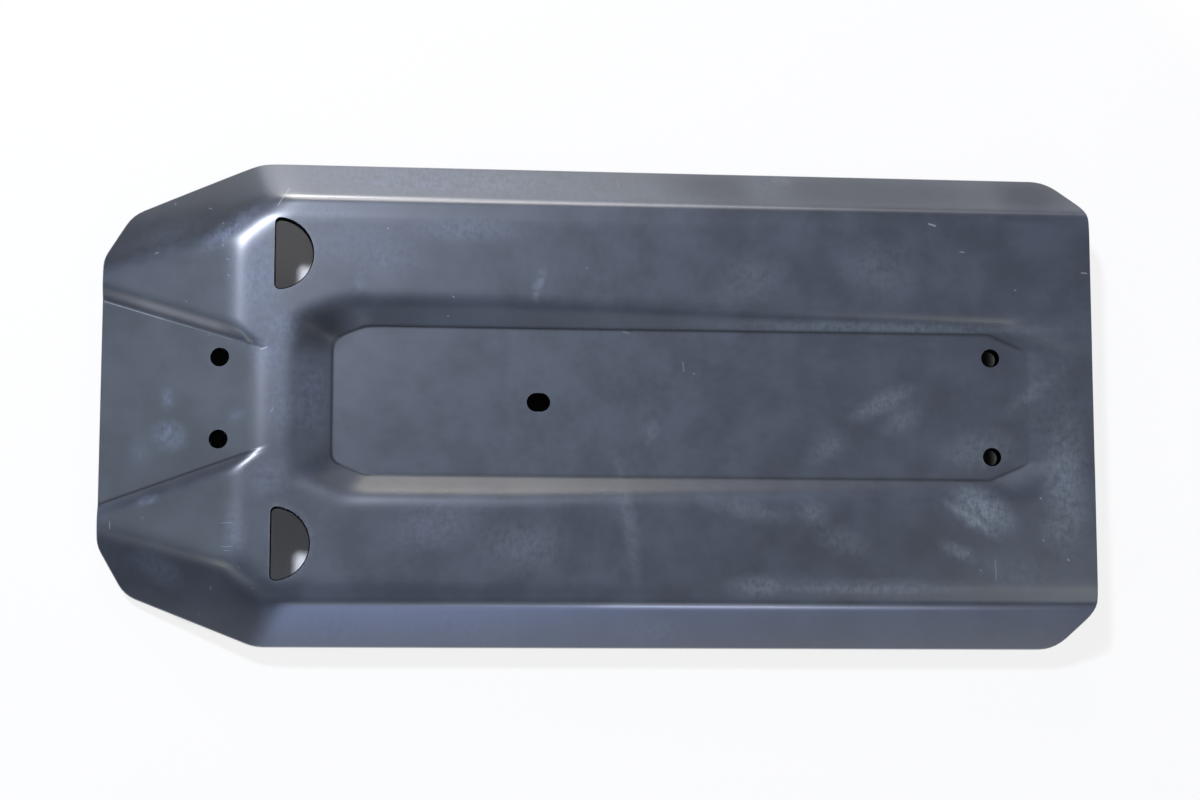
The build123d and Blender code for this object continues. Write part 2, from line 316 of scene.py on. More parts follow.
def rounded_ring(corners, radii, step, arc_step=ARC_STEP_DEGREES, offset=0.0):
    """Points and outward normals along a convex ring with rounded corners, moved outwards by offset."""
    corners = [np.array(corner, float) for corner in corners]
    area = sum(a[0] * b[1] - b[0] * a[1] for a, b in zip(corners, corners[1:] + corners[:1]))
    if area < 0:
        corners, radii = corners[::-1], tuple(radii)[::-1]
    arcs = []
    count = len(corners)
    for i in range(count):
        before, here, after = corners[i - 1], corners[i], corners[(i + 1) % count]
        into, out_of = (here - before) / np.linalg.norm(here - before), (after - here) / np.linalg.norm(after - here)
        turn = np.arctan2(into[0] * out_of[1] - into[1] * out_of[0], into @ out_of)
        start_angle = np.arctan2(-into[0], into[1])
        centre = here - into * radii[i] * tan(turn / 2) - np.array([into[1], -into[0]]) * radii[i]
        parts = max(2, ceil(degrees(turn) / arc_step))
        angles = [start_angle + turn * n / parts for n in range(parts + 1)]
        arcs.append([(centre + (radii[i] + offset) * np.array([cos(a), sin(a)]), (cos(a), sin(a))) for a in angles])
    points, normals = [], []
    for i, arc in enumerate(arcs):
        for point, normal in arc:
            points.append(point)
            normals.append(normal)
        start, end = arc[-1][0], arcs[(i + 1) % count][0][0]
        parts = max(1, round(np.linalg.norm(end - start) / step))
        for n in range(1, parts):
            points.append(start + (end - start) * n / parts)
            normals.append(arc[-1][1])
    return np.array(points), np.array(normals)


def ring_distance(x, y, corners, radius):
    """Distance from a convex ring with rounded corners, below zero inside it."""
    corners = np.array(corners, float)
    centre = corners.mean(0)
    inside = np.full(x.shape, -np.inf)
    nearest = np.full(x.shape, np.inf)
    count = len(corners)
    shrunk = []
    for i in range(count):
        before, here, after = corners[i - 1], corners[i], corners[(i + 1) % count]
        into, out_of = (here - before) / np.linalg.norm(here - before), (after - here) / np.linalg.norm(after - here)
        inwards = out_of - into
        half = np.arccos(np.clip(-into @ out_of, -1, 1)) / 2
        shrunk.append(here + inwards / np.linalg.norm(inwards) * radius / sin(half))
    for i in range(count):
        a, b = shrunk[i], shrunk[(i + 1) % count]
        along = b - a
        share = np.clip(((x - a[0]) * along[0] + (y - a[1]) * along[1]) / (along @ along), 0, 1)
        nearest = np.minimum(nearest, np.hypot(x - a[0] - share * along[0], y - a[1] - share * along[1]))
        normal = np.array([along[1], -along[0]]) / np.linalg.norm(along)
        if normal @ (centre - a) > 0:
            normal = -normal
        inside = np.maximum(inside, (x - a[0]) * normal[0] + (y - a[1]) * normal[1])
    return np.where(inside > 0, nearest, inside) - radius


def face_height(x, y, depth):
    """Height of the outer face at depth 0, and of the hidden face at depth SHEET."""
    height = np.full(x.shape, BASE_HEIGHT - depth)
    for side in (1, -1):
        lean, fall = shoulder(side), flange(side)
        height = soft_min(height, height_on(lean, x, y, depth), blend_width(BASE, lean, SHOULDER_RADIUS - depth))
        share = np.clip((side * y - FLANGE_BEND_HALF) / (HALF_WIDTH - FLANGE_BEND_HALF), 0, 1)
        bulge = FLANGE_BULGE[side] * 4 * share * (1 - share)
        bend = blend_width(lean, fall, FLANGE_RADIUS - depth)
        height = soft_min(height, height_on(fall, x, y, depth) + bulge, bend)
    for side in (1, -1):
        root, tip = wing(side), wing_tip(side)
        slope = soft_min(height_on(root, x, y, depth), height_on(tip, x, y, depth),
                         blend_width(root, tip, WING_TIP_RADIUS - depth))
        height = soft_min(height, slope, blend_width(BASE, root, WING_RADIUS - depth))
    facet = height_on(FACET, x, y, depth)
    down = np.clip((BASE_HEIGHT - depth - facet) / RIDGE_FADE, 0, 1)
    facet_blend = blend_width(BASE, FACET, FACET_RADIUS - depth)
    ridge_blend = blend_width(wing(1), FACET, FACET_WING_RADIUS - depth)
    height = soft_min(height, facet, facet_blend + (ridge_blend - facet_blend) * down ** 2 * (3 - 2 * down))

    panel = height_on(PANEL, x, y, depth)
    channel = panel
    walls = np.full(x.shape, -np.inf)
    for side in (1, -1):
        wall = height_on(channel_wall(side), x, y, depth)
        channel = soft_max(channel, wall, blend_width(PANEL, channel_wall(side), CHANNEL_CREASE_RADIUS + depth))
        walls = np.maximum(walls, wall)
    on_wall = np.clip((walls - panel) / RIM_FADE, 0, 1)
    panel_blend = blend_width(BASE, PANEL, FACET_RADIUS - depth)
    wall_blend = blend_width(FACET, channel_wall(1), CHANNEL_RIM_RADIUS - depth)
    height = soft_min(height, channel, panel_blend + (wall_blend - panel_blend) * on_wall)

    rise_length = FRONT + RECESS_REAR_BACK - RECESS_RISE_FROM
    shallower = np.clip((x - RECESS_RISE_FROM) / rise_length, 0, RECESS_RISE_LIMIT)
    floor = BASE_HEIGHT - depth - RECESS_DEPTH + (RECESS_DEPTH - RECESS_REAR_DEPTH) * shallower
    middle_slope = radians(RECESS_SLOPES[2])
    wall_plane = (Vector((0, 0, 0)), Vector((sin(middle_slope), 0, cos(middle_slope))))
    crease = blend_width(BASE, wall_plane, RECESS_CREASE_RADIUS + depth)
    recess = soft_max(floor, floor + recess_climb(x, y, depth), crease)
    return soft_min(height, recess, blend_width(BASE, wall_plane, RECESS_RIM_RADIUS - depth))


def recess_climb(x, y, depth):
    """How far the recess's walls are above its floor, and below nought over the floor itself."""
    line = [(FLOOR_CORNERS[0][0], 0.0)] + FLOOR_CORNERS[:4] + [(FLOOR_CORNERS[3][0], 0.0)]
    climb = np.full(x.shape, -np.inf)
    blends = (1.0,) + RECESS_CORNER_BLENDS  # the first wall has none before it, so its blend does nothing
    for (a, b), slope, blend in zip(zip(line, line[1:]), RECESS_SLOPES, blends):
        along = np.array([b[0] - a[0], b[1] - a[1]]) / hypot(b[0] - a[0], b[1] - a[1])
        distance = (np.abs(y) - a[1]) * along[0] - (x - a[0]) * along[1]
        wall = (distance - depth * tan(radians(slope) / 2)) * tan(radians(slope))
        climb = soft_max(climb, wall, blend)
    return climb


def sag(x, y):
    """The slight unevenness of a sheet that was formed hot, always downwards."""
    wave = sum(np.sin(along_x * x + along_y * y + start) for along_x, along_y, start in WAVES)
    return -SAG * (1 + wave / len(WAVES))


def face_points(x, y, depth):
    """Points of a face over places in plan. The hidden face never goes under the bench."""
    height = face_height(x, y, depth) + sag(x, y)
    return np.column_stack([x, y, np.maximum(height, 0) if depth else height])


def face_normals(x, y, depth):
    """Unit normals of a face, out of the sheet."""
    reach = 0.05
    slope_x = (face_points(x + reach, y, depth)[:, 2] - face_points(x - reach, y, depth)[:, 2]) / (2 * reach)
    slope_y = (face_points(x, y + reach, depth)[:, 2] - face_points(x, y - reach, depth)[:, 2]) / (2 * reach)
    normals = np.column_stack([-slope_x, -slope_y, np.ones(len(x))])
    normals /= np.linalg.norm(normals, axis=1)[:, None]
    return -normals if depth else normals


def circle_ring(x, y, radius, parts):
    """Points of a round hole, and normals that point into it."""
    angles = [2 * pi * n / parts for n in range(parts)]
    normals = np.array([(-cos(a), -sin(a)) for a in angles])
    return np.array([x, y]) - radius * normals, normals


def slot_ring(x, y, length, radius, parts):
    """Points of a slot along X, and normals that point into it."""
    reach = length / 2 - radius
    angles = [pi * n / parts - pi / 2 for n in range(parts + 1)]
    rear_end = [((x + reach, y), a) for a in angles]
    front_end = [((x - reach, y), a + pi) for a in angles]
    normals = np.array([(-cos(a), -sin(a)) for _, a in rear_end + front_end])
    centres = np.array([centre for centre, _ in rear_end + front_end])
    return centres - radius * normals, normals


def drain_ring(side):
    """The D shape: an arc whose ends are rounded into the flat side."""
    radius = DRAIN_HEIGHT / 2
    centre = np.array([FRONT + DRAIN_FLAT_BACK + DRAIN_WIDTH - radius, side * DRAIN_CENTRE_HALF])
    flat = FRONT + DRAIN_FLAT_BACK
    corner_x = flat + DRAIN_CORNER_RADIUS
    corner_reach = ((radius - DRAIN_CORNER_RADIUS) ** 2 - (corner_x - centre[0]) ** 2) ** 0.5
    meet = np.arctan2(corner_reach, corner_x - centre[0])
    points, normals = [], []

    def arc(middle, arc_radius, start, end, parts):
        for n in range(parts + 1):
            a = start + (end - start) * n / parts
            points.append(np.array(middle) + arc_radius * np.array([cos(a), sin(a)]))
            normals.append((-cos(a), -sin(a)))

    arc(centre, radius, -meet, meet, DRAIN_ARC_PARTS)
    arc((corner_x, centre[1] + corner_reach), DRAIN_CORNER_RADIUS, meet, pi, DRAIN_CORNER_PARTS)
    parts = round(2 * corner_reach / OUTLINE_STEP)
    for n in range(1, parts):
        points.append(np.array([flat, centre[1] + corner_reach * (1 - 2 * n / parts)]))
        normals.append((1.0, 0.0))
    arc((corner_x, centre[1] - corner_reach), DRAIN_CORNER_RADIUS, pi, 2 * pi - meet, DRAIN_CORNER_PARTS)
    return np.array(points), np.array(normals)


def clean_ring(points, normals):
    """Drops points that lie on the one before."""
    keep = [i for i in range(len(points)) if np.linalg.norm(points[i] - points[i - 1]) > SAME_PLACE]
    return points[keep], normals[keep]


def all_rings():
    """The outline first, then every hole. Normals point out of the sheet."""
    rings = [rounded_ring(OUTLINE_CORNERS, OUTLINE_RADII, OUTLINE_STEP)]
    for side in (1, -1):
        for back, spacing in ((FRONT_HOLE_BACK, FRONT_HOLE_SPACING), (REAR_HOLE_BACK, REAR_HOLE_SPACING)):
            rings.append(circle_ring(FRONT + back, side * spacing / 2, BOLT_HOLE_RADIUS, HOLE_PARTS))
        rings.append(drain_ring(side))
    rings.append(slot_ring(FRONT + SLOT_BACK, 0, SLOT_LENGTH, BOLT_HOLE_RADIUS, SLOT_END_PARTS))
    return [clean_ring(*ring) for ring in rings]


def inside_sheet(points, rings, margin):
    """Which points lie in the sheet, at least margin away from its cut edges."""
    x, y = points[:, 0], points[:, 1]
    inside = np.zeros(len(points), bool)
    for number, (ring, _) in enumerate(rings):
        within = np.zeros(len(points), bool)
        nearest = np.full(len(points), np.inf)
        for a, b in zip(ring, np.roll(ring, -1, axis=0)):
            crosses = (a[1] > y) != (b[1] > y)
            with np.errstate(divide="ignore", invalid="ignore"):
                within ^= crosses & (x < (b[0] - a[0]) * (y - a[1]) / (b[1] - a[1]) + a[0])
            along = b - a
            share = np.clip(((x - a[0]) * along[0] + (y - a[1]) * along[1]) / (along @ along), 0, 1)
            nearest = np.minimum(nearest, np.hypot(x - a[0] - share * along[0], y - a[1] - share * along[1]))
        if number == 0:
            inside = within & (nearest >= margin)
        else:
            inside &= ~within & (nearest >= margin)
    return inside


def line_row(start, direction, length, step):
    count = int(length / step) + 1
    return np.array(start) + np.outer(np.arange(count) * step, np.array(direction) / hypot(*direction))


def feature_rows():
    """Rows of mesh points along every crease and bend, the tightest first, each with the room it keeps free."""
    rows = []
    radii = (RECESS_CORNER_RADIUS,) * len(FLOOR_CORNERS)
    for offset in RECESS_ROWS:
        ring, _ = rounded_ring(FLOOR_CORNERS, radii, ROW_STEP, RECESS_ARC_STEP, offset)
        rows.append((ring, TIGHT_ROOM if abs(offset) < TIGHT_REACH else RECESS_ROOM))
    for side in (1, -1):
        along = crease_direction(side).xy.normalized()
        across = Vector((-along.y, along.x)) * -side
        start = Vector((FRONT + PANEL_BEND_BACK, side * CHANNEL_HALF_WIDTH))
        for offset in CHANNEL_ROWS:
            row = line_row(start + across * offset - along * CHANNEL_ROW_LEAD, along, SLOPE_ROW_LENGTH, ROW_STEP)
            rows.append((row, TIGHT_ROOM if abs(offset) < TIGHT_REACH else CHANNEL_ROOM))
    for side in (1, -1):
        turn = radians(WING_BEND_ANGLE)
        corner = (FRONT + WING_BEND_BACK, side * FLANGE_BEND_HALF)
        for offset in BEND_ROWS:
            rows.append((line_row((corner[0], corner[1] + side * offset), (1, 0), LENGTH, ROW_STEP), FLANGE_ROOM))
            shifted = (corner[0] - sin(turn) * offset, corner[1] + side * cos(turn) * offset)
            rows.append((line_row(shifted, (-cos(turn), -side * sin(turn)), SLOPE_ROW_LENGTH, ROW_STEP), SLOPE_ROOM))
    for bend in (FACET_BEND_BACK, PANEL_BEND_BACK):
        for offset in FACET_ROWS:
            row = line_row((FRONT + bend + offset, -HALF_WIDTH), (0, 1), 2 * HALF_WIDTH, ROW_STEP)
            rows.append((row, SLOPE_ROOM))
    return rows


def mark_rows():
    """Mesh points along every mark and round it, close enough to carry its own light line."""
    rows = []
    for x1, y1, x2, y2, half_width, _ in MARKS_AND_CREASE_HIGHLIGHT:
        length = hypot(x2 - x1, y2 - y1)
        along = np.array([x2 - x1, y2 - y1]) / length
        across = np.array([-along[1], along[0]])
        parts = max(1, round(length / MARK_STEP))
        stations = np.array([-half_width] + [length * n / parts for n in range(parts + 1)] + [length + half_width])
        for offset in (0, -half_width, half_width):
            rows.append(np.array([x1, y1]) + np.outer(stations, along) + across * offset)
    return rows


def mesh_points(rings):
    """Points of the faces between the cut edges, in plan."""
    taken = {}
    kept = []

    def add(points, room):
        for x, y in points:
            cell = (int(x // GRID_STEP), int(y // GRID_STEP))
            near = [q for i in (-1, 0, 1) for j in (-1, 0, 1) for q in taken.get((cell[0] + i, cell[1] + j), ())]
            if all((x - q[0]) ** 2 + (y - q[1]) ** 2 >= room * room for q in near):
                taken.setdefault(cell, []).append((x, y))
                kept.append((x, y))

    for row in mark_rows():
        add(row[inside_sheet(row, rings, MARK_MARGIN)], MARK_ROOM)
    for row, room in feature_rows():
        add(row[inside_sheet(row, rings, ROW_MARGIN)], room)
    columns = np.arange(FRONT, REAR, GRID_STEP)
    lines = np.arange(-HALF_WIDTH, HALF_WIDTH, GRID_LINE_STEP)
    grid = np.array([(x + (n % 2) * GRID_STEP / 2, y) for n, y in enumerate(lines) for x in columns])
    add(grid[inside_sheet(grid, rings, GRID_MARGIN)], GRID_ROOM)
    return np.array(kept)


def add_attribute(mesh, name, values):
    mesh.attributes.new(name, "FLOAT", "POINT").data.foreach_set("value", values.astype(np.float32))


def patches(x, y, ellipses):
    """The strongest of some soft ellipses at every place."""
    strongest = np.zeros(x.shape)
    for centre_x, centre_y, reach_x, reach_y, turn, strength in ellipses:
        along = (x - centre_x) * cos(radians(turn)) + (y - centre_y) * sin(radians(turn))
        across = (y - centre_y) * cos(radians(turn)) - (x - centre_x) * sin(radians(turn))
        share = np.clip(PATCH_EDGE - np.hypot(along / reach_x, across / reach_y), 0, 1)
        strongest = np.maximum(strongest, strength * share)
    return strongest


def dust_and_sheen_at(x, y):
    """How dusty and worn by rubbing the surface is, and how much painted sheen lightens it."""
    return patches(x, y, DUST_AND_PAINTED_SHEEN)


def from_channel_crease(x, y, side):
    """How far a place is along the channel's crease from its start, and how far beside it, towards the facet."""
    along = crease_direction(side).xy.normalized()
    back, out = x - FRONT - PANEL_BEND_BACK, y - side * CHANNEL_HALF_WIDTH
    return back * along.x + out * along.y, side * (back * along.y - out * along.x)


def polish_and_highlight_at(x, y):
    """Where rubbing has polished the crisp bends of the two flanges and the rim of the channel's upper wall,
    which also carry a pale painted highlight.
    """
    strength = np.where(y > 0, np.interp(x, *UPPER_POLISH_AND_HIGHLIGHT), np.interp(x, *LOWER_POLISH_AND_HIGHLIGHT))
    middle = np.where(y > 0, 0.0, LOWER_POLISH_AND_HIGHLIGHT_SHIFT)
    flanges = strength * np.clip(1 - np.abs(np.abs(y) - FLANGE_BEND_HALF - middle) / POLISH_AND_HIGHLIGHT_REACH, 0, 1)
    from_start, beside = from_channel_crease(x, y, 1)
    rim = RIM_POLISH_AND_REFLECTION_STRENGTH * np.exp(-((beside - RIM_POLISH_AND_REFLECTION_MIDDLE) / RIM_POLISH_AND_REFLECTION_REACH) ** 2)
    return np.maximum(flanges, rim * np.interp(from_start, *RIM_POLISH_AND_REFLECTION))


def scratch_and_highlight_at(x, y):
    """Bright along every mark, and nothing from its half width on."""
    scratch_and_highlight = np.zeros(x.shape)
    for x1, y1, x2, y2, half_width, strength in MARKS_AND_CREASE_HIGHLIGHT:
        along_x, along_y = x2 - x1, y2 - y1
        share = np.clip(((x - x1) * along_x + (y - y1) * along_y) / (along_x ** 2 + along_y ** 2), 0, 1)
        distance = np.hypot(x - x1 - share * along_x, y - y1 - share * along_y)
        scratch_and_highlight = np.maximum(scratch_and_highlight, strength * np.clip(1 - distance / half_width, 0, 1))
    return scratch_and_highlight


def wing_shade_at(x, y):
    """How much darker the wings are, where they lie below the faces round them."""
    shade = np.zeros(x.shape)
    for side, strength in WING_SHADE.items():
        face = np.minimum(height_on(wing(side), x, y, 0), height_on(wing_tip(side), x, y, 0))
        others = np.minimum(height_on(flange(side), x, y, 0), height_on(FACET, x, y, 0))
        others = np.minimum(others, BASE_HEIGHT - WING_SHADE_START)
        shade = np.maximum(shade, strength * np.clip((others - face) / WING_SHADE_FADE, 0, 1))
    return shade


def painted_shade_at(x, y):
    """Painted shade: in the crease round the recess's floor, under the channel's lower wall, on the wings and in
    patches.
    """
    floor_crease_shade = np.exp(-(ring_distance(x, y, FLOOR_CORNERS, RECESS_CORNER_RADIUS) / CREASE_SHADE_REACH) ** 2)
    floor_crease_shade *= np.interp(x, *REAR_CREASE_SHADE)
    from_start, beside = from_channel_crease(x, y, -1)
    channel_crease_shade = np.exp(-(beside / CREASE_SHADE_REACH) ** 2) * np.clip(from_start / CHANNEL_CREASE_SHADE_START, 0, 1)
    return np.maximum.reduce([floor_crease_shade, channel_crease_shade, wing_shade_at(x, y), patches(x, y, PAINTED_SHADE_PATCHES)])


def sheet_mesh(name):
    """The formed and trimmed sheet: two faces and the cut walls between them, with slightly rounded edges."""
    rings = all_rings()
    edge_rings = [(ring - EDGE_RADIUS * out, out) for ring, out in rings]
    starts = np.cumsum([0] + [len(ring) for ring, _ in rings])
    inner = np.vstack([ring for ring, _ in edge_rings])
    plan = np.vstack([inner, mesh_points(edge_rings)])
    borders = [(starts[r] + i, starts[r] + (i + 1) % len(ring)) for r, (ring, _) in enumerate(rings)
               for i in range(len(ring))]
    flat = delaunay_2d_cdt([Vector(p) for p in plan], [tuple(map(int, b)) for b in borders], [], 0,
                           TRIANGULATION_TOLERANCE)
    assert len(flat[0]) == len(plan), "the triangulation moved or joined points"
    order = [ids[0] for ids in flat[3]]
    triangles = np.array([[order[i] for i in face] for face in flat[2]])
    triangles = triangles[inside_sheet(plan[triangles].mean(1), edge_rings, 0)]

    x, y = plan[:, 0], plan[:, 1]
    points = [face_points(x, y, depth) for depth in (0, SHEET)]
    normals = [face_normals(x, y, depth) for depth in (0, SHEET)]
    faces = [triangles, triangles[:, ::-1] + len(plan)]
    outward = np.vstack([np.column_stack([out, np.zeros(len(out))]) for _, out in rings])
    top, low = (face[:len(inner)] for face in points)
    top_normals, low_normals = (face[:len(inner)] for face in normals)

    def edge_row(face, face_normal, share, down):
        """A row of points round the edge, from the face at share 0 to the cut wall at share 1."""
        plan_shift = EDGE_RADIUS * sin(share * pi / 2)
        drop = EDGE_RADIUS * (1 - cos(share * pi / 2))
        moved = face + outward * plan_shift
        slope = -(face_normal[:, :2] * outward[:, :2]).sum(1) / face_normal[:, 2]
        moved[:, 2] += slope * plan_shift - down * drop
        return moved

    def turned(face_normal, share):
        """The normals of such a row."""
        mixed = face_normal * cos(share * pi / 2) + outward * sin(share * pi / 2)
        return mixed / np.linalg.norm(mixed, axis=1)[:, None]

    shares = (1 / 3, 2 / 3, 1)
    rows = [edge_row(top, top_normals, share, 1) for share in shares]
    rows += [edge_row(low, low_normals, share, -1) for share in reversed(shares)]
    for row in rows:
        row[:, 2] = np.maximum(row[:, 2], 0)
    points += rows
    normals += [turned(top_normals, share) for share in shares]
    normals += [turned(low_normals, share) for share in reversed(shares)]

    edge = np.arange(len(inner))
    row_starts = [edge] + [edge + 2 * len(plan) + n * len(inner) for n in range(len(rows))] + [edge + len(plan)]
    quads = [(upper[a], lower[a], lower[b], upper[b])
             for upper, lower in zip(row_starts, row_starts[1:]) for a, b in borders]

    ring_numbers = np.repeat(np.arange(len(rings)), np.diff(starts))
    drains = np.isin(ring_numbers, DRAIN_RINGS)
    edge_burr = np.where(drains, DRAIN_BURR, np.where(ring_numbers == 0, OUTLINE_BURR, HOLE_BURR))
    face_burr = np.zeros(2 * len(plan))
    face_burr[:len(inner)] = FACE_BURR * drains

    vertices = np.vstack(points) * MM
    mesh = bpy.data.meshes.new(name)
    mesh.from_pydata(vertices.tolist(), [], [tuple(map(int, f)) for f in np.vstack(faces)]
                     + [tuple(map(int, q)) for q in quads])
    add_attribute(mesh, "burr", np.concatenate([face_burr] + [edge_burr * share for share in ROW_BURR]))
    rest = np.zeros(len(vertices) - len(plan))
    surface = {"dust_and_sheen": dust_and_sheen_at, "crease": painted_shade_at, "scratch_and_highlight": scratch_and_highlight_at, "polish_and_highlight": polish_and_highlight_at}
    for label, values_at in surface.items():
        add_attribute(mesh, label, np.concatenate([values_at(x, y), rest]))
    mesh.shade_smooth()
    mesh.normals_split_custom_set_from_vertices(np.vstack(normals).tolist())
    return mesh


plate = bpy.data.objects.new("formed_plate", sheet_mesh("formed_plate"))
bpy.context.scene.collection.objects.link(plate)
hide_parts("skid_plate")
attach(plate, "root")
print("plate:", len(plate.data.vertices), "vertices", len(plate.data.polygons), "faces")


def put(tree, socket, value):
    """Links a socket to another one, or sets its value."""
    if isinstance(value, bpy.types.NodeSocket):
        tree.links.new(value, socket)
    else:
        socket.default_value = value


def calc(tree, operation, first, second=0.0):
    made = tree.nodes.new("ShaderNodeMath")
    made.operation = operation
    put(tree, made.inputs[0], first)
    put(tree, made.inputs[1], second)
    return made.outputs[0]


def vector_calc(tree, operation, first, second=(0.0, 0.0, 0.0), scale=1.0):
    made = tree.nodes.new("ShaderNodeVectorMath")
    made.operation = operation
    put(tree, made.inputs[0], first)
    if operation == "SCALE":
        put(tree, made.inputs["Scale"], scale)
    else:
        put(tree, made.inputs[1], second)
    return made.outputs["Value" if operation in ("DOT_PRODUCT", "LENGTH") else "Vector"]


def ramp(tree, value, start, end, low=0.0, high=1.0):
    """A smooth change from low to high while value goes from start to end."""
    made = tree.nodes.new("ShaderNodeMapRange")
    made.interpolation_type = "SMOOTHSTEP"
    for name, number in (("From Min", start), ("From Max", end), ("To Min", low), ("To Max", high)):
        made.inputs[name].default_value = number
    put(tree, made.inputs["Value"], value)
    return made.outputs["Result"]


def noise(tree, position, scale, detail=3.0, roughness=0.55):
    made = tree.nodes.new("ShaderNodeTexNoise")
    put(tree, made.inputs["Vector"], position)
    for name, number in (("Scale", scale), ("Detail", detail), ("Roughness", roughness)):
        made.inputs[name].default_value = number
    return made.outputs["Fac"]


def mix(tree, share, first, second):
    made = tree.nodes.new("ShaderNodeMix")
    made.data_type = "RGBA"
    put(tree, made.inputs[0], share)
    put(tree, made.inputs[6], first)
    put(tree, made.inputs[7], second)
    return made.outputs[2]


def attribute(tree, name):
    made = tree.nodes.new("ShaderNodeAttribute")
    made.attribute_name = name
    return made.outputs["Fac"]


def stretched(tree, position, turn, squeeze):
    """The position turned in plan, then squeezed along its second axis, so that noise on it makes streaks."""
    made = tree.nodes.new("ShaderNodeMapping")
    made.vector_type = "POINT"
    made.inputs["Rotation"].default_value = (0, 0, radians(turn))
    made.inputs["Scale"].default_value = (1, squeeze, 1)
    put(tree, made.inputs["Vector"], position)
    return made.outputs["Vector"]


# Colours of the plastic from cloud to cloud, of the dust and painted sheen at the nose and at the rear, with the places
# along x between which it changes, of painted shade, of scratched and cut plastic, which also paints a highlight along
# the channel's crease, and of the painted highlight on the polished bends
SKIN_COLOURS = ((0.0378, 0.0459, 0.0628, 1), (0.0511, 0.0624, 0.0872, 1))
DUST_AND_SHEEN_COLOURS = ((0.28, 0.34, 0.50, 1), (0.31, 0.36, 0.41, 1))
DUST_AND_SHEEN_CHANGE = (-120, 20)
PAINTED_SHADE_COLOUR = (0.012, 0.013, 0.015, 1)
CUT_AND_HIGHLIGHT_COLOUR = (0.62, 0.65, 0.70, 1)
PAINTED_HIGHLIGHT_COLOUR = (0.80, 0.79, 0.78, 1)

# How much of each covers the skin, and how pale a mark is against a cut edge
DUST_AND_SHEEN_COVER, PAINTED_SHADE_COVER, CUT_AND_HIGHLIGHT_COVER, PAINTED_HIGHLIGHT_COVER, PAINTED_HIGHLIGHT_POWER = 0.55, 0.8, 0.6, 0.5, 1.6
MARK_SHARE = 0.7

# Gloss: the sheet's own with what clouds, dust, mottle and polish change in it, and that of the thin skin over it
ROUGHNESS = 0.41
CLOUD_ROUGHNESS, DUST_ROUGHNESS, MOTTLE_ROUGHNESS, POLISH_SMOOTHNESS, DUST_DULLNESS = 0.03, 0.12, 0.02, 0.2, 0.8
SPECULAR_LEVEL, SPECULAR_TINT = 0.60, (0.806, 0.885, 1.0, 1)
COAT, COAT_ROUGHNESS, COAT_IOR = 1.0, 0.28, 1.56

# Relief in millimetres
WAVE_HEIGHT, PORE_HEIGHT, SCRATCH_DEPTH = 0.06, 0.0035, 0.03


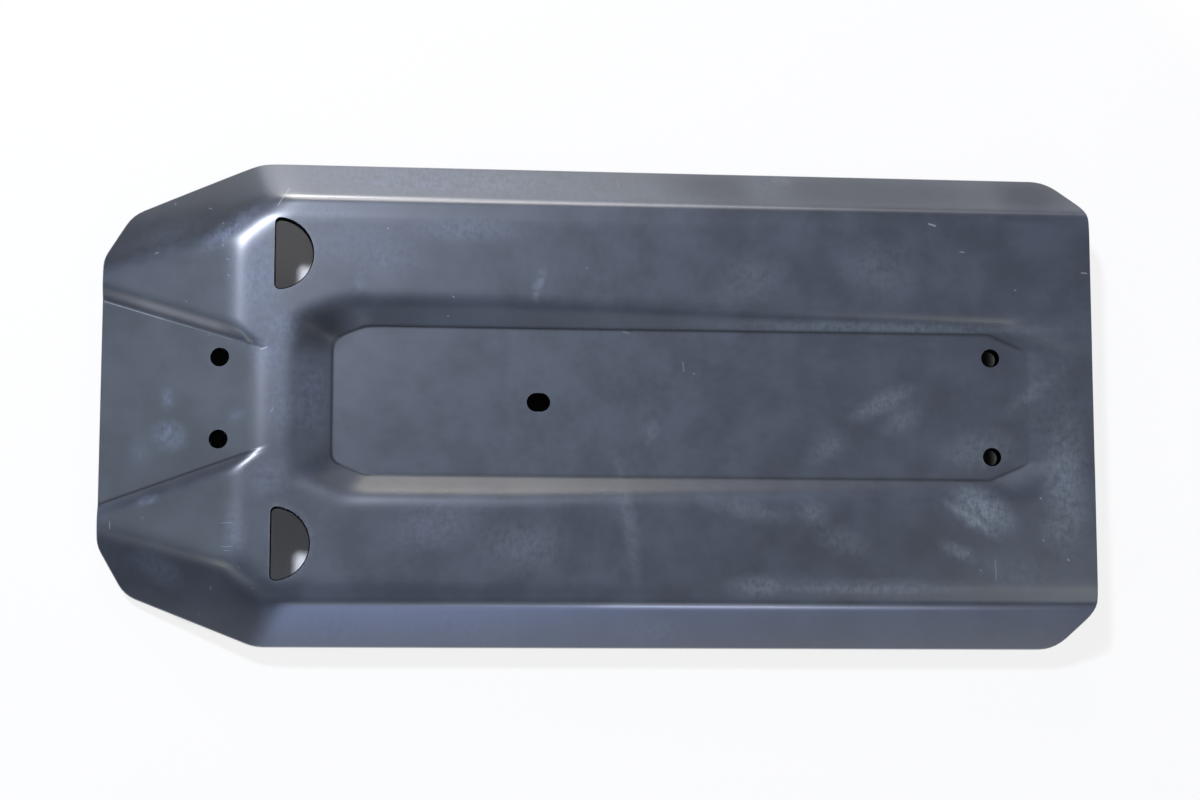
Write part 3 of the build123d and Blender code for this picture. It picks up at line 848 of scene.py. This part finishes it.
def plastic():
    """Satin black sheet: a soft sheen with a thin glossier skin, cloudy worn and dusty places, streaks and scratches,
    with painted sheen, painted shade and painted highlights.
    """
    material = bpy.data.materials.new("black_plastic")
    material.use_nodes = True
    tree = material.node_tree
    shader = tree.nodes["Principled BSDF"]
    place = tree.nodes.new("ShaderNodeTexCoord").outputs["Object"]
    position = vector_calc(tree, "SCALE", place, scale=1 / MM)
    plan = vector_calc(tree, "MULTIPLY", position, (1, 1, 0))

    clouds = noise(tree, plan, 0.045, 5, 0.6)
    mottle = noise(tree, plan, 0.35, 4, 0.65)
    grain = noise(tree, position, 2.2, 2, 0.6)
    streaks = noise(tree, stretched(tree, plan, 8, 0.12), 1.9, 3, 0.6)
    sweeps = noise(tree, stretched(tree, plan, -34, 0.15), 1.1, 3, 0.6)

    # This mask is dust, and also painted sheen where light falls on the sheet
    rubbed_and_sheen = calc(tree, "MULTIPLY", attribute(tree, "dust_and_sheen"), ramp(tree, mottle, 0.3, 0.62, 0.35, 1.0))
    streaked = ramp(tree, calc(tree, "MAXIMUM", streaks, sweeps), 0.42, 0.68, 0.65, 1.1)
    rubbed_and_sheen = calc(tree, "MULTIPLY", rubbed_and_sheen, streaked)
    # This mask is scratches and specks, and also a painted highlight along the channel's upper crease
    marks_and_highlight = attribute(tree, "scratch_and_highlight")
    ragged = ramp(tree, noise(tree, position, 0.5, 2), 0.38, 0.6, 0.15, 0.8)
    burr = calc(tree, "MULTIPLY", attribute(tree, "burr"), ragged)
    cut = calc(tree, "MAXIMUM", calc(tree, "MULTIPLY", marks_and_highlight, MARK_SHARE), burr)
    # This mask is polish, and also a pale painted highlight on the flanges' bends and the channel's rim
    polish_and_highlight = attribute(tree, "polish_and_highlight")
    # This mask is painted shade: in creases, on the wings and in patches
    painted_shade = attribute(tree, "crease")

    skin = mix(tree, ramp(tree, clouds, 0.33, 0.68), *SKIN_COLOURS)
    to_rear = ramp(tree, vector_calc(tree, "DOT_PRODUCT", position, (1, 0, 0)), *DUST_AND_SHEEN_CHANGE)
    dust_and_sheen_colour = mix(tree, to_rear, *DUST_AND_SHEEN_COLOURS)
    painted_highlight = calc(tree, "POWER", polish_and_highlight, PAINTED_HIGHLIGHT_POWER)
    skin = mix(tree, calc(tree, "MULTIPLY", rubbed_and_sheen, DUST_AND_SHEEN_COVER), skin, dust_and_sheen_colour)
    skin = mix(tree, calc(tree, "MULTIPLY", painted_shade, PAINTED_SHADE_COVER), skin, PAINTED_SHADE_COLOUR)
    skin = mix(tree, calc(tree, "MULTIPLY", cut, CUT_AND_HIGHLIGHT_COVER), skin, CUT_AND_HIGHLIGHT_COLOUR)
    skin = mix(tree, calc(tree, "MULTIPLY", painted_highlight, PAINTED_HIGHLIGHT_COVER), skin, PAINTED_HIGHLIGHT_COLOUR)
    put(tree, shader.inputs["Base Color"], skin)

    rough = ramp(tree, clouds, 0.3, 0.7, ROUGHNESS - CLOUD_ROUGHNESS, ROUGHNESS + CLOUD_ROUGHNESS)
    rough = calc(tree, "ADD", rough, calc(tree, "MULTIPLY", rubbed_and_sheen, DUST_ROUGHNESS))
    rough = calc(tree, "ADD", rough, ramp(tree, mottle, 0.3, 0.7, -MOTTLE_ROUGHNESS, MOTTLE_ROUGHNESS))
    rough = calc(tree, "SUBTRACT", rough, calc(tree, "MULTIPLY", polish_and_highlight, POLISH_SMOOTHNESS))
    put(tree, shader.inputs["Roughness"], rough)
    shader.inputs["Specular IOR Level"].default_value = SPECULAR_LEVEL
    shader.inputs["Specular Tint"].default_value = SPECULAR_TINT
    dull = calc(tree, "MAXIMUM", calc(tree, "MULTIPLY", attribute(tree, "dust_and_sheen"), DUST_DULLNESS), painted_shade)
    gloss = calc(tree, "SUBTRACT", COAT, calc(tree, "MULTIPLY", dull, COAT))
    put(tree, shader.inputs["Coat Weight"], calc(tree, "MAXIMUM", gloss, 0.0))
    shader.inputs["Coat Roughness"].default_value = COAT_ROUGHNESS
    shader.inputs["Coat IOR"].default_value = COAT_IOR

    waves = calc(tree, "MULTIPLY", noise(tree, plan, 0.04, 2, 0.5), WAVE_HEIGHT)
    pores = calc(tree, "MULTIPLY", grain, PORE_HEIGHT)
    depth = calc(tree, "MULTIPLY", marks_and_highlight, SCRATCH_DEPTH)
    relief = calc(tree, "SUBTRACT", calc(tree, "ADD", waves, pores), depth)
    bump = tree.nodes.new("ShaderNodeBump")
    bump.inputs["Strength"].default_value = 1.0
    bump.inputs["Distance"].default_value = MM
    put(tree, bump.inputs["Height"], relief)
    put(tree, shader.inputs["Normal"], bump.outputs["Normal"])
    return material


plate.data.materials.append(plastic())

# The bench, in metres: its size, how far it lies under the plate, and its roughness and colours, of which the
# dark one is a painted shadow under the plate
BENCH_SIZE, BENCH_DROP, BENCH_ROUGHNESS = 12, 0.0002, 0.9
PAINTED_SHADOW_BENCH, WHITE_BENCH = (0.03, 0.03, 0.03, 1), (0.9, 0.9, 0.9, 1)

# Its glow round a box of this reach along x and y: from and up to what distance, and how strong at either
GLOW_BOX = (0.170, 0.080)
NEAR_GLOW = (0.0, 0.014, 0.03, 0.84)
FAR_GLOW = (0.03, 0.16, 0.0, 1.0)

# The painted shadow that the holes show on the bench: boxes with their middle along x and their reach along x and y,
# and a soft edge
PAINTED_SHADOW_BOXES = ((0.0, 0.172, 0.024), (0.036, 0.136, 0.070))
PAINTED_SHADOW_EDGE = 0.018


def pale_floor():
    """A white bench with a painted shadow under the plate.
    Round the plate it also shows itself white to the camera and in reflections.
    """
    bpy.ops.mesh.primitive_plane_add(size=BENCH_SIZE, location=(0, 0, -BENCH_DROP))
    floor = bpy.context.object
    floor.name = "bench"
    material = bpy.data.materials.new("bench")
    material.use_nodes = True
    tree = material.node_tree
    shader = tree.nodes["Principled BSDF"]
    shader.inputs["Roughness"].default_value = BENCH_ROUGHNESS
    place = tree.nodes.new("ShaderNodeTexCoord").outputs["Object"]

    def from_box(middle, reach_x, reach_y):
        """Distance from a box on the bench, nought inside it."""
        moved = vector_calc(tree, "SUBTRACT", place, (middle, 0, 0))
        past = vector_calc(tree, "SUBTRACT", vector_calc(tree, "ABSOLUTE", moved), (reach_x, reach_y, 0))
        return vector_calc(tree, "LENGTH", vector_calc(tree, "MAXIMUM", past, (0, 0, 0)))

    away = from_box(0.0, *GLOW_BOX)
    path = tree.nodes.new("ShaderNodeLightPath")
    seen = calc(tree, "MAXIMUM", path.outputs["Is Camera Ray"], path.outputs["Is Glossy Ray"])
    seen = calc(tree, "MAXIMUM", seen, path.outputs["Is Transmission Ray"])
    # Painted shadow: dark bench colour in boxes under the plate, where the glow fades too
    outside_painted_shadow = calc(tree, "MINIMUM", *[ramp(tree, from_box(*box), 0.0, PAINTED_SHADOW_EDGE) for box in PAINTED_SHADOW_BOXES])
    near = calc(tree, "MULTIPLY", ramp(tree, away, *NEAR_GLOW), outside_painted_shadow)
    white = calc(tree, "MULTIPLY", seen, calc(tree, "MAXIMUM", near, ramp(tree, away, *FAR_GLOW)))
    put(tree, shader.inputs["Base Color"], mix(tree, outside_painted_shadow, PAINTED_SHADOW_BENCH, WHITE_BENCH))
    glow = tree.nodes.new("ShaderNodeEmission")
    blend = tree.nodes.new("ShaderNodeMixShader")
    put(tree, blend.inputs[0], white)
    put(tree, blend.inputs[1], shader.outputs[0])
    put(tree, blend.inputs[2], glow.outputs[0])
    put(tree, tree.nodes["Material Output"].inputs["Surface"], blend.outputs[0])
    floor.data.materials.append(material)


# Soft lamps: azimuth from +Y towards +X and elevation in degrees, distance, width and height in metres, and watts of
# red, green and blue
LAMPS = {
    "key": (-37.7, 60, 2.0, 0.18, 0.18, (31.1, 32.3, 37.1)),
    "top_low": (-8, 6, 1.8, 0.3, 0.3, (9.4, 9.0, 8.6)),
    "window": (-2, 33, 1.8, 0.36, 0.3, (3.51, 3.15, 2.65)),
    "front_low_right": (160, 8, 1.8, 0.6, 0.3, (0.27, 0.297, 0.39)),
    "front_right": (148, 33, 1.8, 0.4, 0.3, (0.5, 0.5, 0.5)),
    "front_low": (185, 9, 1.8, 0.6, 0.3, (1.65, 2.05, 3.5)),
    "front_glint": (169.5, 20, 1.8, 0.35, 0.3, (1.44, 1.7, 2.65)),
    "front_high": (170, 45, 1.8, 0.4, 0.4, (0.63, 0.68, 0.624)),
    "left_front": (236, 42, 1.8, 0.25, 0.25, (1.26, 1.27, 1.01)),
    "right": (112, 62, 2.0, 0.5, 0.5, (2.5, 2.5, 2.25)),
    "right_mid": (85, 42, 1.8, 0.5, 0.5, (0.54, 0.595, 0.624)),
    "left": (-90, 50, 1.8, 0.6, 0.6, (0.72, 0.85, 0.78)),
}
ROOM_COLOUR, ROOM_STRENGTH = (0.95, 0.97, 1.0, 1), 0.05


def area_light(name, azimuth, elevation, distance, width, height, power):
    """A rectangular lamp that looks at the middle of the plate."""
    around, up = radians(azimuth), radians(elevation)
    direction = Vector((sin(around) * cos(up), cos(around) * cos(up), sin(up)))
    data = bpy.data.lights.new(name, "AREA")
    data.shape = "RECTANGLE"
    data.size, data.size_y = width, height
    data.energy = max(power)
    data.color = [value / max(power) for value in power]
    lamp = bpy.data.objects.new(name, data)
    lamp.location = direction * distance
    lamp.rotation_mode = "QUATERNION"
    lamp.rotation_quaternion = (-direction).to_track_quat("-Z", "Y")
    bpy.context.scene.collection.objects.link(lamp)


def lights():
    world = bpy.data.worlds.new("room")
    bpy.context.scene.world = world
    world.use_nodes = True
    background = world.node_tree.nodes["Background"]
    background.inputs["Color"].default_value = ROOM_COLOUR
    background.inputs["Strength"].default_value = ROOM_STRENGTH
    for name, values in LAMPS.items():
        area_light(name, *values)


def camera():
    """The photograph's camera, fitted to matching points on both sides of the plate."""
    tilt_x, tilt_y, roll = radians(-7.16), radians(6.11), radians(-0.02)
    distance, shift_x, shift_y, middle_x = 1.046, 0.00299, -0.00068, 0.0008
    focal_pixels, frame_pixels, sensor = 2500.0, 1200.0, 36.0
    turn = Matrix.Rotation(tilt_x, 3, "X") @ Matrix.Rotation(tilt_y, 3, "Y") @ Matrix.Rotation(roll, 3, "Z")
    data = bpy.data.cameras.new("camera")
    data.sensor_width = sensor
    data.lens = focal_pixels / frame_pixels * sensor
    eye = bpy.data.objects.new("camera", data)
    back = turn.transposed()
    place = -(back @ Vector((shift_x, shift_y, -distance))) + Vector((middle_x, 0, BASE_HEIGHT * MM))
    eye.matrix_world = Matrix.Translation(place) @ back.to_4x4()
    bpy.context.scene.collection.objects.link(eye)
    bpy.context.scene.camera = eye


pale_floor()
lights()
camera()
bpy.context.scene.view_settings.view_transform = "Standard"
